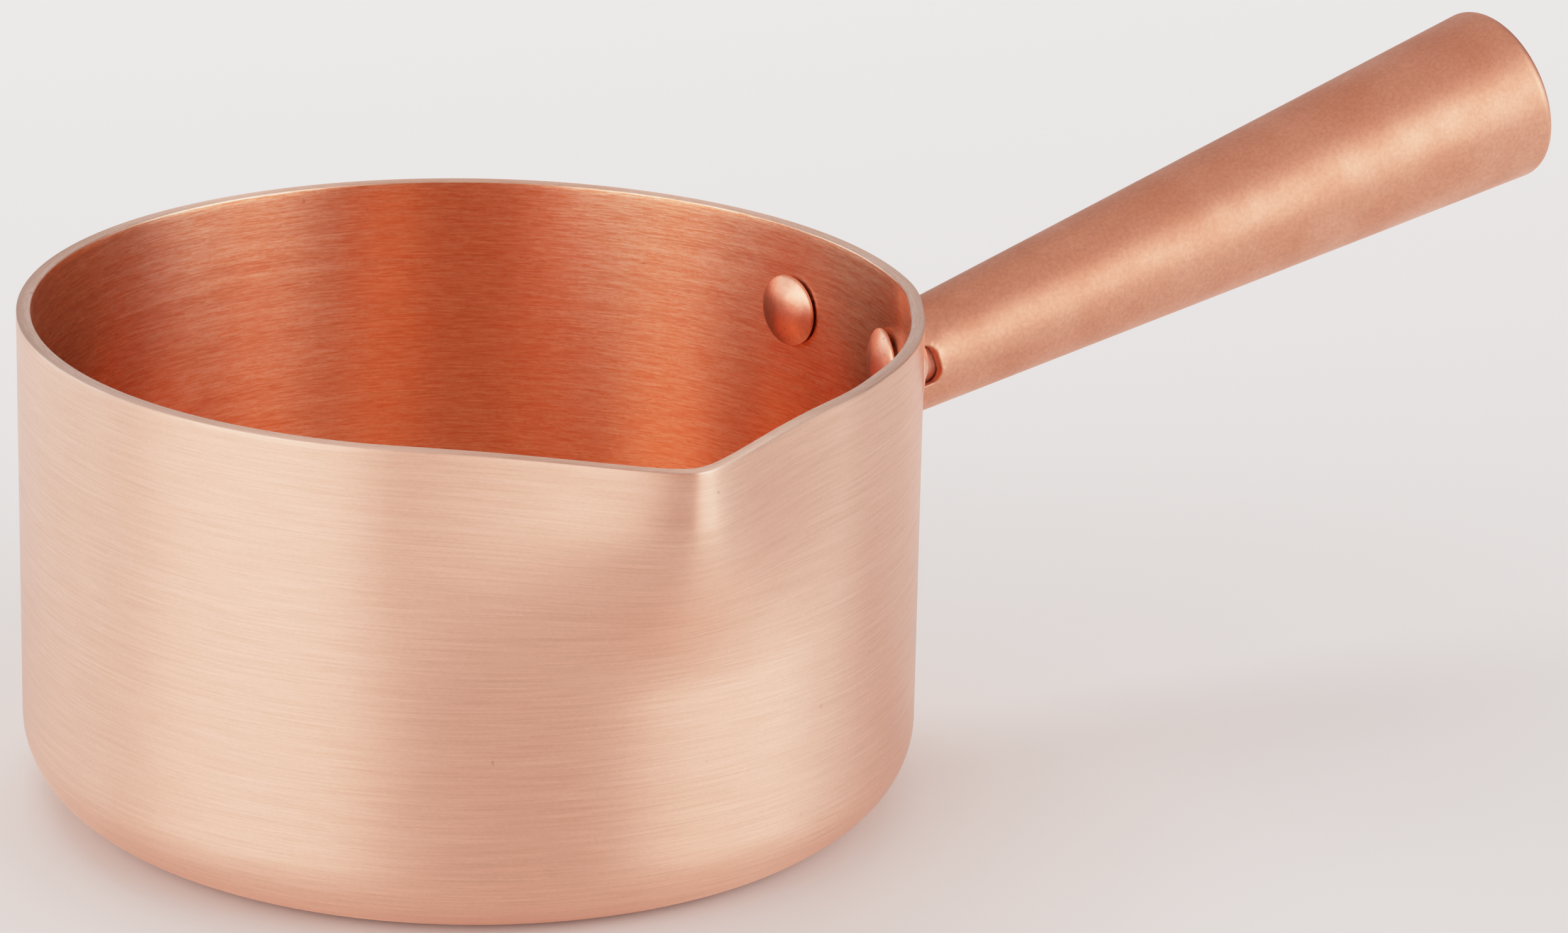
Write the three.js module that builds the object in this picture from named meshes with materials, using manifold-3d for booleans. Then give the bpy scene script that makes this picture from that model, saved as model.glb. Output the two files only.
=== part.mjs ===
// Copper saucepan with a pouring lip and a hollow conical handle.
//
// Millimetres, +Z up. The origin is the centre of the flat base, on the surface
// that the pan stands on. The handle leaves the wall towards +X and rises; the
// pouring lip is on the -Y side.
//
// Pieces: the pan body, the handle bracket riveted to its wall, the handle tube
// pushed over the bracket's spigot, and the three rivets.

import * as THREE from 'three';
import { mergeVertices } from 'three/addons/utils/BufferGeometryUtils.js';
import Module from 'manifold-3d';

const wasm = await Module();
wasm.setup();

// ---- Driving dimensions ----------------------------------------------------

const GAP = 0.3; // clearance between touching pieces

const PAN_RADIUS = 70; // outside of the wall
const PAN_HEIGHT = 77;
const WALL = 2.2;
const CORNER_RADIUS = 12; // outside, between base and wall
const RIM_BEVEL = 0.3;
const CORNER_STEPS = 4;
const PAN_SEGMENTS = 120;

const SPOUT_ANGLE = THREE.MathUtils.degToRad(-96); // from the handle, seen from above
const SPOUT_REACH = 13.2; // how far the lip stands out of the wall at the rim
const SPOUT_HALF_WIDTH = THREE.MathUtils.degToRad(32);
const SPOUT_SHARPNESS = 2.3; // how hollow the two flanks are
const SPOUT_TIP_SOFTNESS = THREE.MathUtils.degToRad(2.2);
const SPOUT_FULL_DEPTH = 8; // below the rim, the lip keeps its full reach to here
const SPOUT_END_DEPTH = 39; // below the rim, the wall is round again from here
const SPOUT_ROWS = 6;

const DRAW_IN = 0.85; // how far the rim is drawn in beside the lip, on the handle's side
const DRAW_ANGLE = THREE.MathUtils.degToRad(-42);
const DRAW_FULL_WIDTH = THREE.MathUtils.degToRad(12); // each side of that angle
const DRAW_END_WIDTH = THREE.MathUtils.degToRad(26);
const DRAW_END_DEPTH = 65; // below the rim, the wall is round again from here

const HANDLE_TILT = THREE.MathUtils.degToRad(14.9); // above horizontal
const HANDLE_ROOT_HEIGHT = 54; // where the handle's axis meets the wall
const HANDLE_LENGTH = 134; // along the axis, from the wall to the end
const HANDLE_ROOT_RADIUS = 8;
const HANDLE_END_RADIUS = 15.2;
const TUBE_THICKNESS = 1.6;
const LIP_RADIUS = 2.2; // outside of the bend that turns the end inwards
const LIP_RETURN = 1.4; // flat of the turned-in lip
const LIP_STEPS = 4;
const HANDLE_SEGMENTS = 40;

const WINDOW_CENTRE = 8.4; // along the axis, from the wall
const WINDOW_LENGTH = 6; // along the axis
const WINDOW_HEIGHT = 6.4; // round the tube
const WINDOW_CORNER = 2.1;
const WINDOW_ANGLE = THREE.MathUtils.degToRad(14); // above the middle of each side

const PLATE_THICKNESS = 1.8;
const LOBE_RADIUS = 7.6; // plate material round each rivet
const SPIGOT_LENGTH = 20; // along the handle's axis, from the wall
const SPIGOT_THICKNESS = 1.8;
const SPIGOT_FLOOR = 4.6; // along the axis, where the spigot's bore starts
const SPIGOT_CHAMFER = 0.6;
const BEYOND = 10; // how far a cutter runs past what it cuts

const RIVET_HEAD_RADIUS = 5.85;
const RIVET_HEAD_HEIGHT = 2.1;
const RIVET_EDGE = 0.35; // straight edge of the head and of the tail
const RIVET_SHANK_RADIUS = 2.6;
const RIVET_TAIL_RADIUS = 4.4;
const RIVET_TAIL_HEIGHT = 1.5;
const RIVET_TAIL_CHAMFER = 1.4;
const RIVET_SEGMENTS = 20;
const UPPER_RIVET_ANGLE = THREE.MathUtils.degToRad(12.3); // each side of the handle
const SPOUT_SIDE_RIVET_HEIGHT = 62.1;
const FAR_SIDE_RIVET_HEIGHT = 63;
const LOWER_RIVET_HEIGHT = 37.2;

// ---- Derived sizes ---------------------------------------------------------

const INNER_RADIUS = PAN_RADIUS - WALL;
const PLATE_INNER = PAN_RADIUS + GAP;
const PLATE_OUTER = PLATE_INNER + PLATE_THICKNESS;
const TUBE_START = PLATE_OUTER + GAP; // the tube is cut to this radius round the pan
const TUBE_SLOPE = (HANDLE_END_RADIUS - HANDLE_ROOT_RADIUS) / HANDLE_LENGTH;
const RIVET_HOLE_RADIUS = RIVET_SHANK_RADIUS + GAP;
const HEAD_SEAT = Math.sqrt((INNER_RADIUS - GAP) ** 2 - RIVET_HEAD_RADIUS ** 2);
const TAIL_SEAT = PLATE_OUTER + GAP;

const tubeRadius = (along) => HANDLE_ROOT_RADIUS + TUBE_SLOPE * along;

// ---- Small tools -----------------------------------------------------------

// Points on an arc in a lathe profile, angles measured from the outward radius.
function arc(radius, along, size, from, to, steps) {
  const points = [];
  for (let step = 0; step <= steps; step += 1) {
    const angle = THREE.MathUtils.degToRad(from + ((to - from) * step) / steps);
    const x = radius + size * Math.cos(angle);
    const y = along + size * Math.sin(angle);
    points.push(new THREE.Vector2(Math.max(x, 0), y));
  }
  return points;
}

// A profile of [radius, height] points turned round the Z axis.
function turned(points, segments) {
  const geometry = new THREE.LatheGeometry(points, segments);
  geometry.rotateX(Math.PI / 2);
  return geometry;
}

function profile(...pairs) {
  return pairs.map(([radius, along]) => new THREE.Vector2(radius, along));
}

// An upright solid cylinder on the Z axis, for cutting.
function cylinder(radius, from, to, segments) {
  return turned(profile([0, from], [radius, from], [radius, to], [0, to]), segments);
}

function toManifold(geometry) {
  const bare = geometry.clone();
  bare.deleteAttribute('normal');
  bare.deleteAttribute('uv');
  const merged = mergeVertices(bare, 1e-4);
  const corners = merged.index.array;
  const kept = [];
  for (let i = 0; i < corners.length; i += 3) {
    const [a, b, c] = [corners[i], corners[i + 1], corners[i + 2]];
    if (a !== b && b !== c && c !== a) {
      kept.push(a, b, c);
    }
  }
  const mesh = new wasm.Mesh({
    numProp: 3,
    vertProperties: new Float32Array(merged.attributes.position.array),
    triVerts: new Uint32Array(kept),
  });
  return new wasm.Manifold(mesh);
}

function toGeometry(solid) {
  const mesh = solid.getMesh();
  const geometry = new THREE.BufferGeometry();
  geometry.setAttribute('position', new THREE.BufferAttribute(mesh.vertProperties, 3));
  geometry.setIndex(new THREE.BufferAttribute(mesh.triVerts, 1));
  geometry.computeVertexNormals();
  return geometry;
}

// The handle's own frame: +Z along the axis, -X on the upper side.
const handle = new THREE.Group();
handle.position.set(PAN_RADIUS, 0, HANDLE_ROOT_HEIGHT);
handle.rotation.y = Math.PI / 2 - HANDLE_TILT;
handle.updateMatrixWorld(true);
const intoHandle = handle.matrixWorld.clone().invert();

// A rivet's own frame: +Z straight out through the wall.
function rivetPlace(angle, height) {
  const place = new THREE.Object3D();
  place.rotation.order = 'ZYX';
  place.rotation.z = angle;
  place.rotation.y = Math.PI / 2;
  place.position.set(0, 0, height);
  place.updateMatrixWorld(true);
  return place;
}

const rivetPlaces = {
  rivet_spout_side: rivetPlace(-UPPER_RIVET_ANGLE, SPOUT_SIDE_RIVET_HEIGHT),
  rivet_far_side: rivetPlace(UPPER_RIVET_ANGLE, FAR_SIDE_RIVET_HEIGHT),
  rivet_lower: rivetPlace(0, LOWER_RIVET_HEIGHT),
};

function rivetHoles(solid) {
  let drilled = solid;
  for (const place of Object.values(rivetPlaces)) {
    const drill = cylinder(RIVET_HOLE_RADIUS, INNER_RADIUS - BEYOND, PLATE_OUTER + BEYOND, RIVET_SEGMENTS);
    drill.applyMatrix4(place.matrixWorld);
    drilled = drilled.subtract(toManifold(drill));
  }
  return drilled;
}

// ---- Pan body --------------------------------------------------------------

// The angle between two directions, without its sign.
function turnBetween(angle, other) {
  return Math.abs(Math.atan2(Math.sin(angle - other), Math.cos(angle - other)));
}

// How far the pouring lip pushes the wall out, by angle and by height.
function spoutReach(angle, height) {
  const turn = turnBetween(angle, SPOUT_ANGLE);
  const away = Math.hypot(turn, SPOUT_TIP_SOFTNESS) - SPOUT_TIP_SOFTNESS;
  const across = Math.max(0, 1 - away / SPOUT_HALF_WIDTH) ** SPOUT_SHARPNESS;
  const depth = PAN_HEIGHT - height;
  const down = 1 - THREE.MathUtils.smoothstep(depth, SPOUT_FULL_DEPTH, SPOUT_END_DEPTH);
  return SPOUT_REACH * across * down;
}

// How far pressing the lip drew the wall in beside it.
function drawIn(angle, height) {
  const turn = turnBetween(angle, DRAW_ANGLE);
  const across = 1 - THREE.MathUtils.smoothstep(turn, DRAW_FULL_WIDTH, DRAW_END_WIDTH);
  const down = Math.max(0, 1 - (PAN_HEIGHT - height) / DRAW_END_DEPTH);
  return DRAW_IN * across * down;
}

function panBody() {
  const spoutRows = [];
  for (let row = SPOUT_ROWS; row >= 1; row -= 1) {
    spoutRows.push(PAN_HEIGHT - (SPOUT_END_DEPTH * row) / SPOUT_ROWS);
  }
  const innerCorner = CORNER_RADIUS - WALL;
  const outside = [
    new THREE.Vector2(0, 0),
    ...arc(PAN_RADIUS - CORNER_RADIUS, CORNER_RADIUS, CORNER_RADIUS, -90, 0, CORNER_STEPS),
    ...spoutRows.map((height) => new THREE.Vector2(PAN_RADIUS, height)),
    new THREE.Vector2(PAN_RADIUS, PAN_HEIGHT - RIM_BEVEL),
    new THREE.Vector2(PAN_RADIUS - RIM_BEVEL, PAN_HEIGHT),
  ];
  const inside = [
    new THREE.Vector2(INNER_RADIUS + RIM_BEVEL, PAN_HEIGHT),
    new THREE.Vector2(INNER_RADIUS, PAN_HEIGHT - RIM_BEVEL),
    ...spoutRows.reverse().map((height) => new THREE.Vector2(INNER_RADIUS, height)),
    ...arc(INNER_RADIUS - innerCorner, WALL + innerCorner, innerCorner, 0, -90, CORNER_STEPS),
    new THREE.Vector2(0, WALL),
  ];
  const geometry = turned([...outside, ...inside], PAN_SEGMENTS);
  const position = geometry.attributes.position;
  for (let i = 0; i < position.count; i += 1) {
    const x = position.getX(i);
    const y = position.getY(i);
    const radius = Math.hypot(x, y);
    if (radius > INNER_RADIUS - 1e-3) {
      const angle = Math.atan2(y, x);
      const height = position.getZ(i);
      const grown = 1 + (spoutReach(angle, height) - drawIn(angle, height)) / radius;
      position.setXY(i, x * grown, y * grown);
    }
  }
  return toGeometry(rivetHoles(toManifold(geometry)));
}

// ---- Handle bracket --------------------------------------------------------

// A rounded triangle round the three rivets, drawn as (across, up).
function plateOutline() {
  const across = PLATE_OUTER * Math.sin(UPPER_RIVET_ANGLE);
  const centres = [
    new THREE.Vector2(0, LOWER_RIVET_HEIGHT),
    new THREE.Vector2(across, FAR_SIDE_RIVET_HEIGHT),
    new THREE.Vector2(-across, SPOUT_SIDE_RIVET_HEIGHT),
  ];
  const outward = (from, to) => Math.atan2(-(to.x - from.x), to.y - from.y);
  const shape = new THREE.Shape();
  centres.forEach((centre, i) => {
    const before = centres[(i + 2) % 3];
    const after = centres[(i + 1) % 3];
    const start = outward(before, centre);
    const end = outward(centre, after);
    shape.absarc(centre.x, centre.y, LOBE_RADIUS, start, end, false);
  });
  return shape;
}

function handleBracket() {
  const blank = new THREE.ExtrudeGeometry(plateOutline(), {
    depth: 2 * BEYOND,
    bevelEnabled: false,
    curveSegments: 8,
  });
  // across -> Y, up -> Z, depth -> X
  const stand = new THREE.Matrix4().makeBasis(
    new THREE.Vector3(0, 1, 0),
    new THREE.Vector3(0, 0, 1),
    new THREE.Vector3(1, 0, 0),
  );
  blank.applyMatrix4(stand);
  blank.translate(PLATE_OUTER - BEYOND, 0, 0);
  const low = LOWER_RIVET_HEIGHT - 2 * LOBE_RADIUS;
  const high = FAR_SIDE_RIVET_HEIGHT + 2 * LOBE_RADIUS;
  const ring = turned(
    profile(
      [PLATE_INNER, low],
      [PLATE_OUTER, low],
      [PLATE_OUTER, high],
      [PLATE_INNER, high],
      [PLATE_INNER, low],
    ),
    PAN_SEGMENTS,
  );
  const plate = toManifold(ring).intersect(toManifold(blank));

  const spigotRadius = (along) => tubeRadius(along) - TUBE_THICKNESS - GAP;
  const spigot = turned(
    profile(
      [0, -WALL],
      [spigotRadius(0), -WALL],
      [spigotRadius(SPIGOT_LENGTH), SPIGOT_LENGTH - SPIGOT_CHAMFER],
      [spigotRadius(SPIGOT_LENGTH) - SPIGOT_CHAMFER, SPIGOT_LENGTH],
      [0, SPIGOT_LENGTH],
    ),
    HANDLE_SEGMENTS,
  );
  spigot.applyMatrix4(handle.matrixWorld);
  const boreEnd = SPIGOT_LENGTH + BEYOND;
  const bore = turned(
    profile(
      [0, SPIGOT_FLOOR],
      [spigotRadius(SPIGOT_FLOOR) - SPIGOT_THICKNESS, SPIGOT_FLOOR],
      [spigotRadius(boreEnd) - SPIGOT_THICKNESS, boreEnd],
      [0, boreEnd],
    ),
    HANDLE_SEGMENTS,
  );
  bore.applyMatrix4(handle.matrixWorld);
  const wallSide = cylinder(PLATE_INNER, 0, 2 * PAN_HEIGHT, PAN_SEGMENTS);
  const stub = toManifold(spigot).subtract(toManifold(wallSide)).subtract(toManifold(bore));
  return toGeometry(rivetHoles(plate.add(stub)));
}

// ---- Handle tube -----------------------------------------------------------

function tubeProfile() {
  const bendRadius = HANDLE_END_RADIUS - LIP_RADIUS;
  const bendAlong = HANDLE_LENGTH - LIP_RADIUS;
  const innerBend = LIP_RADIUS - TUBE_THICKNESS;
  return [
    new THREE.Vector2(tubeRadius(0), 0),
    ...arc(bendRadius, bendAlong, LIP_RADIUS, 0, 90, LIP_STEPS),
    new THREE.Vector2(bendRadius - LIP_RETURN, HANDLE_LENGTH),
    new THREE.Vector2(bendRadius - LIP_RETURN, HANDLE_LENGTH - TUBE_THICKNESS),
    ...arc(bendRadius, bendAlong, innerBend, 90, 0, LIP_STEPS),
    new THREE.Vector2(tubeRadius(0) - TUBE_THICKNESS, 0),
    new THREE.Vector2(tubeRadius(0), 0),
  ];
}

// A rounded opening through one side of the tube; side is +1 or -1 along Y.
function windowCutter(side) {
  const halfLength = WINDOW_LENGTH / 2 - WINDOW_CORNER;
  const halfHeight = WINDOW_HEIGHT / 2 - WINDOW_CORNER;
  const quarter = Math.PI / 2;
  const shape = new THREE.Shape();
  shape.absarc(halfHeight, halfLength, WINDOW_CORNER, 0, quarter, false);
  shape.absarc(-halfHeight, halfLength, WINDOW_CORNER, quarter, 2 * quarter, false);
  shape.absarc(-halfHeight, -halfLength, WINDOW_CORNER, 2 * quarter, 3 * quarter, false);
  shape.absarc(halfHeight, -halfLength, WINDOW_CORNER, 3 * quarter, 4 * quarter, false);
  const cutter = new THREE.ExtrudeGeometry(shape, {
    depth: 2 * HANDLE_ROOT_RADIUS,
    bevelEnabled: false,
    curveSegments: 5,
  });
  // height -> X, length -> Z, depth -> -Y, then turned to its side of the tube
  cutter.rotateX(Math.PI / 2);
  cutter.rotateZ(side > 0 ? Math.PI + WINDOW_ANGLE : -WINDOW_ANGLE);
  cutter.translate(0, 0, WINDOW_CENTRE);
  return toManifold(cutter);
}

function handleTube() {
  const saddle = cylinder(TUBE_START, 0, 2 * PAN_HEIGHT, PAN_SEGMENTS);
  saddle.applyMatrix4(intoHandle);
  const tube = toManifold(turned(tubeProfile(), HANDLE_SEGMENTS))
    .subtract(toManifold(saddle))
    .subtract(windowCutter(1))
    .subtract(windowCutter(-1));
  return toGeometry(tube);
}

// ---- Rivet -----------------------------------------------------------------

// The domed head is inside the pan; the shank passes the wall and the bracket,
// and its end is hammered into a low button.
function rivet() {
  const dome = RIVET_HEAD_HEIGHT - RIVET_EDGE;
  const domeRadius = (RIVET_HEAD_RADIUS ** 2 + dome ** 2) / (2 * dome);
  const domeTurn = THREE.MathUtils.radToDeg(Math.asin(RIVET_HEAD_RADIUS / domeRadius));
  const headBase = HEAD_SEAT - RIVET_EDGE;
  const domeCentre = headBase - dome + domeRadius;
  const points = [
    ...arc(0, domeCentre, domeRadius, -90, -90 + domeTurn, 5),
    ...profile(
      [RIVET_HEAD_RADIUS, HEAD_SEAT],
      [RIVET_SHANK_RADIUS, HEAD_SEAT],
      [RIVET_SHANK_RADIUS, TAIL_SEAT],
      [RIVET_TAIL_RADIUS, TAIL_SEAT],
      [RIVET_TAIL_RADIUS, TAIL_SEAT + RIVET_EDGE],
      [RIVET_TAIL_RADIUS - RIVET_TAIL_CHAMFER, TAIL_SEAT + RIVET_TAIL_HEIGHT],
      [0, TAIL_SEAT + RIVET_TAIL_HEIGHT],
    ),
  ];
  return turned(points, RIVET_SEGMENTS);
}

// ---- Assembly --------------------------------------------------------------

function metal(color, roughness) {
  return new THREE.MeshStandardMaterial({ color, roughness, metalness: 1 });
}

function named(name, geometry, material) {
  const mesh = new THREE.Mesh(geometry, material);
  mesh.name = name;
  return mesh;
}

const saucepan = new THREE.Group();
saucepan.add(named('pan_body', panBody(), metal(0xe2ad8f, 0.32)));
saucepan.add(named('handle_bracket', handleBracket(), metal(0xc98a6c, 0.4)));
handle.add(named('handle_tube', handleTube(), metal(0xcf9274, 0.42)));
saucepan.add(handle);

for (const [name, place] of Object.entries(rivetPlaces)) {
  place.add(named(name, rivet(), metal(0xd49a7c, 0.35)));
  saucepan.add(place);
}

export default saucepan;
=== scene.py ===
"""A solid copper saucepan with a pouring lip and a hollow conical handle, on a pale floor."""

import bpy
import bmesh
import math
from typing import NamedTuple
from mathutils import Matrix, Vector, noise


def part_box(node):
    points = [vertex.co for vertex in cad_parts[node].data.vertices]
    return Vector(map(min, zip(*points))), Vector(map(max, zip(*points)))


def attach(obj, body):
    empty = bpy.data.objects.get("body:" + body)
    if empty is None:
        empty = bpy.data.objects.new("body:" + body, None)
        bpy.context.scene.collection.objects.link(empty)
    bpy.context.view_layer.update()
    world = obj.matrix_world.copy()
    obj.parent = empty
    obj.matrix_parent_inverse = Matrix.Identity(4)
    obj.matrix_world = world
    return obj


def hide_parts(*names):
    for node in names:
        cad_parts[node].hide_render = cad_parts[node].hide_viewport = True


MM = 0.001
TINY = 1e-6  # metres: nearer to each other than this, two places are one

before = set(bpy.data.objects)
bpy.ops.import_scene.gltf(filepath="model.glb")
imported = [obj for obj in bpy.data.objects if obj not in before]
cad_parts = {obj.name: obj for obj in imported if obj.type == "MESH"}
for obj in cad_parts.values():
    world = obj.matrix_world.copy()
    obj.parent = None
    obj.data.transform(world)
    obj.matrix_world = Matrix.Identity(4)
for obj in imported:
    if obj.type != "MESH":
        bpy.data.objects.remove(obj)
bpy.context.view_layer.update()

# ---- Sizes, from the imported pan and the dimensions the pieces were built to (metres) ----

PAN_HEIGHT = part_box("pan_body")[1].z
PAN_RADIUS = 70 * MM
WALL = 2.2 * MM
INNER_RADIUS = PAN_RADIUS - WALL
CORNER_RADIUS = 12 * MM
RIM_ROUND = 0.3 * MM
GAP = 0.3 * MM

SPOUT_ANGLE = math.radians(-96)
SPOUT_REACH = 13.2 * MM
SPOUT_HALF_WIDTH = math.radians(32)
SPOUT_SHARPNESS = 2.3
SPOUT_TIP_SOFTNESS = math.radians(2.6)
SPOUT_SOFTENING_DEPTH = 16 * MM  # the ridge below the lip is twice as soft this far down
SPOUT_FULL_DEPTH = 8 * MM
SPOUT_END_DEPTH = 39 * MM

DRAW_IN = 0.85 * MM  # the wall is drawn in a little between the lip and the handle
DRAW_ANGLE = math.radians(-42)
DRAW_FULL_WIDTH = math.radians(12)
DRAW_END_WIDTH = math.radians(26)
DRAW_END_DEPTH = 65 * MM

HANDLE_TILT = math.radians(14.9)
HANDLE_ROOT_HEIGHT = 54 * MM
HANDLE_LENGTH = 134 * MM
HANDLE_ROOT_RADIUS = 8 * MM
HANDLE_END_RADIUS = 15.2 * MM
TUBE_THICKNESS = 1.6 * MM
LIP_RADIUS = 2.2 * MM
LIP_RETURN = 1.4 * MM

WINDOW_CENTRE = 8.4 * MM
WINDOW_LENGTH = 6.0 * MM
WINDOW_HEIGHT = 6.4 * MM
WINDOW_CORNER = 2.1 * MM
WINDOW_ANGLE = math.radians(14)

PLATE_INNER = PAN_RADIUS + GAP
PLATE_OUTER = PLATE_INNER + 1.8 * MM
LOBE_RADIUS = 7.6 * MM
SPIGOT_LENGTH = 20 * MM
SPIGOT_THICKNESS = 1.8 * MM
SPIGOT_FLOOR = 4.6 * MM
SPIGOT_CHAMFER = 0.6 * MM

RIVET_HEAD_RADIUS = 5.85 * MM
RIVET_HEAD_HEIGHT = 2.1 * MM
RIVET_EDGE = 0.35 * MM
RIVET_SHANK_RADIUS = 2.6 * MM
RIVET_TAIL_RADIUS = 4.4 * MM
RIVET_TAIL_HEIGHT = 1.5 * MM
RIVET_TAIL_CHAMFER = 1.4 * MM
UPPER_RIVET_ANGLE = math.radians(12.3)
SPOUT_SIDE_RIVET_HEIGHT = 62.1 * MM
FAR_SIDE_RIVET_HEIGHT = 63 * MM
LOWER_RIVET_HEIGHT = 37.2 * MM
HEAD_SEAT = math.sqrt((INNER_RADIUS - GAP) ** 2 - RIVET_HEAD_RADIUS ** 2)
TAIL_SEAT = PLATE_OUTER + GAP
TUBE_START = PLATE_OUTER + GAP  # the tube is cut to this radius round the pan

# ---- Camera ----

CAMERA_AZIMUTH = math.radians(-32)
CAMERA_ELEVATION = math.radians(19.18)
CAMERA_ROLL = math.radians(1.94)
CAMERA_DISTANCE = 809.69 * MM
CAMERA_SIDEWAYS = 48.19 * MM  # the point looked at, right of the pan's axis
CAMERA_HEIGHT = 52.3 * MM  # the same point, above the base
LENS = 119.7  # in millimetres, like the sensor
SENSOR = 36.0
NEAREST_SEEN = 0.01
FURTHEST_SEEN = 20


def bearing(azimuth, elevation):
    """The way to a place, by its angle round from -Y towards +X and its angle up."""
    level = math.cos(elevation)
    return Vector((math.sin(azimuth) * level, -math.cos(azimuth) * level, math.sin(elevation)))


def make_camera():
    data = bpy.data.cameras.new("camera")
    data.sensor_width = SENSOR
    data.lens = LENS
    data.clip_start = NEAREST_SEEN
    data.clip_end = FURTHEST_SEEN
    camera = bpy.data.objects.new("camera", data)
    bpy.context.scene.collection.objects.link(camera)
    back = bearing(CAMERA_AZIMUTH, CAMERA_ELEVATION)
    right = Vector((math.cos(CAMERA_AZIMUTH), math.sin(CAMERA_AZIMUTH), 0))
    up = back.cross(right)
    target = right * CAMERA_SIDEWAYS + Vector((0, 0, CAMERA_HEIGHT))
    rolled_right = right * math.cos(CAMERA_ROLL) + up * math.sin(CAMERA_ROLL)
    rolled_up = up * math.cos(CAMERA_ROLL) - right * math.sin(CAMERA_ROLL)
    turn = Matrix((rolled_right, rolled_up, back)).transposed().to_4x4()
    camera.matrix_world = Matrix.Translation(target + back * CAMERA_DISTANCE) @ turn
    bpy.context.scene.camera = camera


make_camera()

# ---- Mesh tools ----

CREASE_ANGLE = 40  # degrees: an edge sharper than this isn't shaded smooth


def smoothstep(x, low, high):
    x = min(max((x - low) / (high - low), 0.0), 1.0)
    return x * x * (3 - 2 * x)


def arc(radius, along, size, start, end, steps):
    """Points (radius, along) on an arc, angles in degrees from the outward radius."""
    points = []
    for step in range(steps + 1):
        angle = math.radians(start + (end - start) * step / steps)
        points.append((radius + size * math.cos(angle), along + size * math.sin(angle)))
    return points


def line(start, end, steps):
    """Points (radius, along) on a straight line, without the first one."""
    return [
        (start[0] + (end[0] - start[0]) * k / steps, start[1] + (end[1] - start[1]) * k / steps)
        for k in range(1, steps + 1)
    ]


def even_angles(count):
    return [2 * math.pi * i / count for i in range(count)]


def turned(points, angles, shape, inside_from=None):
    """A profile turned round Z. Points on the axis become one vertex, and a profile that
    doesn't start and end on the axis closes on itself. shape(r, z, angle) moves a point.
    The vertices from one point of the profile on are marked as being inside."""
    mesh = bmesh.new()
    inside = mesh.verts.layers.float.new("inside")
    rows = []
    for number, (radius, along) in enumerate(points):
        row = []
        for angle in angles[:1] if radius < TINY else angles:
            r, z = shape(radius, along, angle)
            vertex = mesh.verts.new((r * math.cos(angle), r * math.sin(angle), z))
            vertex[inside] = 1.0 if inside_from is not None and number >= inside_from else 0.0
            row.append(vertex)
        rows.append(row)
    if len(rows[0]) > 1:
        rows.append(rows[0])
    count = len(angles)
    for lower, upper in zip(rows, rows[1:]):
        for i in range(count):
            j = (i + 1) % count
            ring = [lower[i % len(lower)], lower[j % len(lower)]]
            ring += [upper[j % len(upper)], upper[i % len(upper)]]
            corners = list(dict.fromkeys(ring))
            if len(corners) > 2:
                mesh.faces.new(corners)
    return mesh


def bridge(mesh, one, other):
    """Faces between two closed rings with as many vertices each."""
    count = len(one)
    for i in range(count):
        j = (i + 1) % count
        mesh.faces.new((one[i], one[j], other[j], other[i]))


def cap(mesh, ring, place):
    """Faces from a closed ring to one vertex in its middle."""
    hub = mesh.verts.new(place)
    for i in range(len(ring)):
        mesh.faces.new((hub, ring[i], ring[(i + 1) % len(ring)]))


def finish_piece(mesh, name, material, place=None, crease_angle=CREASE_ANGLE):
    bmesh.ops.recalc_face_normals(mesh, faces=mesh.faces)
    data = bpy.data.meshes.new(name)
    mesh.to_mesh(data)
    mesh.free()
    if place is not None:
        data.transform(place)
    for polygon in data.polygons:
        polygon.use_smooth = True
    data.set_sharp_from_angle(angle=math.radians(crease_angle))
    data.materials.append(material)
    piece = bpy.data.objects.new(name, data)
    bpy.context.scene.collection.objects.link(piece)
    return piece


# ---- Materials ----


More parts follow.
